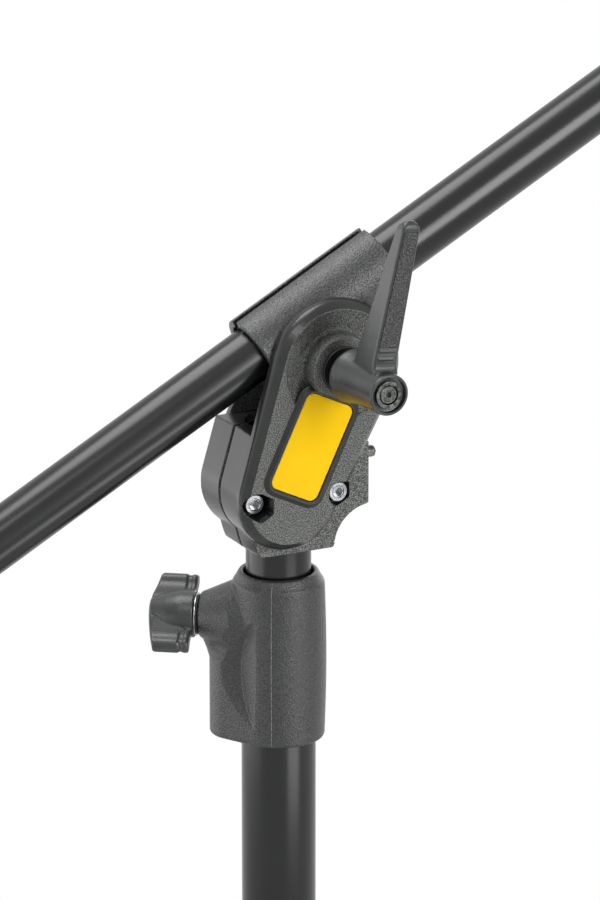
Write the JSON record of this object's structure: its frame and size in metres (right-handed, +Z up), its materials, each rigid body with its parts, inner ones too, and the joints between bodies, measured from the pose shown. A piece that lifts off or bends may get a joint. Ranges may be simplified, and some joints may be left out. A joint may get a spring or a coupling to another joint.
{
  "type": "overhead boom arm",
  "caption": "Boom tube in a tilting split sleeve on a cast head with a ratchet clamping lever, above a riser that slides in a column's collar.",
  "frame": {"origin": "centre of the column's lower end", "axes": "+Z up along the column, -Y towards the lever, +X towards the boom's head"},
  "size_m": [0.9553, 0.1488, 0.7878],
  "materials": {
    "black_tube": "black anodised, semi-gloss",
    "cast_grey": "cast, dark grey textured powder coat",
    "sleeve_grey": "dark grey textured powder coat",
    "moulded_grey": "dark grey moulded, fine texture",
    "black_nylon": "black nylon",
    "yellow_plate": "bare yellow plate, satin",
    "zinc_steel": "bright zinc plate",
    "dark_steel": "dark oxide",
    "brass": "turned brass"
  },
  "bodies": {
    "column": {"column_tube": "black_tube", "collar": "moulded_grey", "column_guide_bush": "black_nylon", "wing_knob_insert": "brass"},
    "clamp_pad": {"wing_knob_pad": "black_nylon"},
    "clamp_knob": {"wing_knob": "moulded_grey", "wing_knob_stud": "zinc_steel", "wing_knob_washer": "zinc_steel"},
    "riser": {"riser_foot_bush": "black_nylon"},
    "head": {"riser_tube": "black_tube", "bracket_front": "cast_grey", "bracket_back": "cast_grey", "clamp_screw_left": "zinc_steel", "clamp_screw_right": "zinc_steel", "clamp_nut_left": "zinc_steel", "clamp_nut_right": "zinc_steel", "label_plate": "yellow_plate", "pivot_bolt": "dark_steel", "index_pin_spring": "zinc_steel"},
    "pin": {"index_pin": "dark_steel"},
    "clamp_nut": {"ratchet_nut": "dark_steel", "thrust_washer": "dark_steel", "lever_retaining_screw": "dark_steel", "lever_spring_cup": "dark_steel", "lever_spring": "zinc_steel"},
    "lever": {"clamp_lever": "moulded_grey"},
    "cradle": {"sleeve_front": "sleeve_grey", "sleeve_back": "sleeve_grey", "friction_washer_front": "black_nylon", "friction_washer_back": "black_nylon"},
    "liner": {"sleeve_liner": "black_nylon"},
    "boom": {"boom_tube": "black_tube", "tail_plug": "moulded_grey", "weight_eye": "zinc_steel", "boom_collar": "moulded_grey", "boom_guide_bush": "black_nylon", "boom_knob_insert": "brass"},
    "boom_pad": {"boom_knob_pad": "black_nylon"},
    "boom_clamp_knob": {"boom_knob": "moulded_grey", "boom_knob_stud": "zinc_steel", "boom_knob_washer": "zinc_steel"},
    "extension": {"extension_tube": "black_tube", "extension_foot_bush": "black_nylon", "extension_end_plug": "moulded_grey", "end_spigot": "zinc_steel"}
  },
  "joints": [
    {"name": "riser_slide", "type": "slide", "parent": "column", "child": "riser", "axis": [0, 0, 1], "range_m": [-0.014, 0.13]},
    {"name": "head_swivel", "type": "hinge", "parent": "riser", "child": "head", "pos_m": [0, 0, 0.3], "axis": [0, 0, 1], "continuous": true},
    {"name": "boom_tilt", "type": "hinge", "parent": "head", "child": "cradle", "pos_m": [0.0208, 0, 0.4122], "axis": [0, -1, 0], "range_deg": [-78, 12]},
    {"name": "boom_roll", "type": "hinge", "parent": "cradle", "child": "liner", "pos_m": [0.01075, 0, 0.43041], "axis": [0.8755, 0, 0.4833], "continuous": true},
    {"name": "boom_slide", "type": "slide", "parent": "liner", "child": "boom", "axis": [0.8755, 0, 0.4833], "range_m": [-0.4, 0.22]},
    {"name": "extension_slide", "type": "slide", "parent": "boom", "child": "extension", "axis": [0.8755, 0, 0.4833], "range_m": [0, 0.42]},
    {"name": "clamp_pad_slide", "type": "slide", "parent": "column", "child": "clamp_pad", "axis": [-0.8192, 0.5736, 0], "range_m": [0, 0.00187]},
    {"name": "clamp_knob_turn", "type": "hinge", "parent": "clamp_pad", "child": "clamp_knob", "pos_m": [0, 0, 0.2669], "axis": [-0.8192, 0.5736, 0], "range_deg": [0, 540]},
    {"name": "boom_pad_slide", "type": "slide", "parent": "boom", "child": "boom_pad", "axis": [0, -1, 0], "range_m": [0, 0.0015]},
    {"name": "boom_knob_turn", "type": "hinge", "parent": "boom_pad", "child": "boom_clamp_knob", "pos_m": [0.54889, 0, 0.72748], "axis": [0, -1, 0], "range_deg": [0, 540]},
    {"name": "lever_turn", "type": "hinge", "parent": "head", "child": "clamp_nut", "pos_m": [0.0208, 0, 0.4122], "axis": [0, -1, 0], "range_deg": [-60, 240]},
    {"name": "lever_lift", "type": "slide", "parent": "clamp_nut", "child": "lever", "axis": [0, -1, 0], "range_m": [0, 0.0054], "stiffness_N_per_m": 700, "springref_m": -0.004, "deforming": ["lever_spring"]},
    {"name": "pin_pull", "type": "slide", "parent": "head", "child": "pin", "axis": [1, 0, 0], "range_m": [0, 0.006], "stiffness_N_per_m": 600, "springref_m": -0.005, "deforming": ["index_pin_spring"]}
  ],
  "couplings": [
    {"joint": "clamp_knob_turn", "follows": "clamp_pad_slide", "rad_per_m": 5026.5},
    {"joint": "boom_knob_turn", "follows": "boom_pad_slide", "rad_per_m": 6283.2}
  ]
}
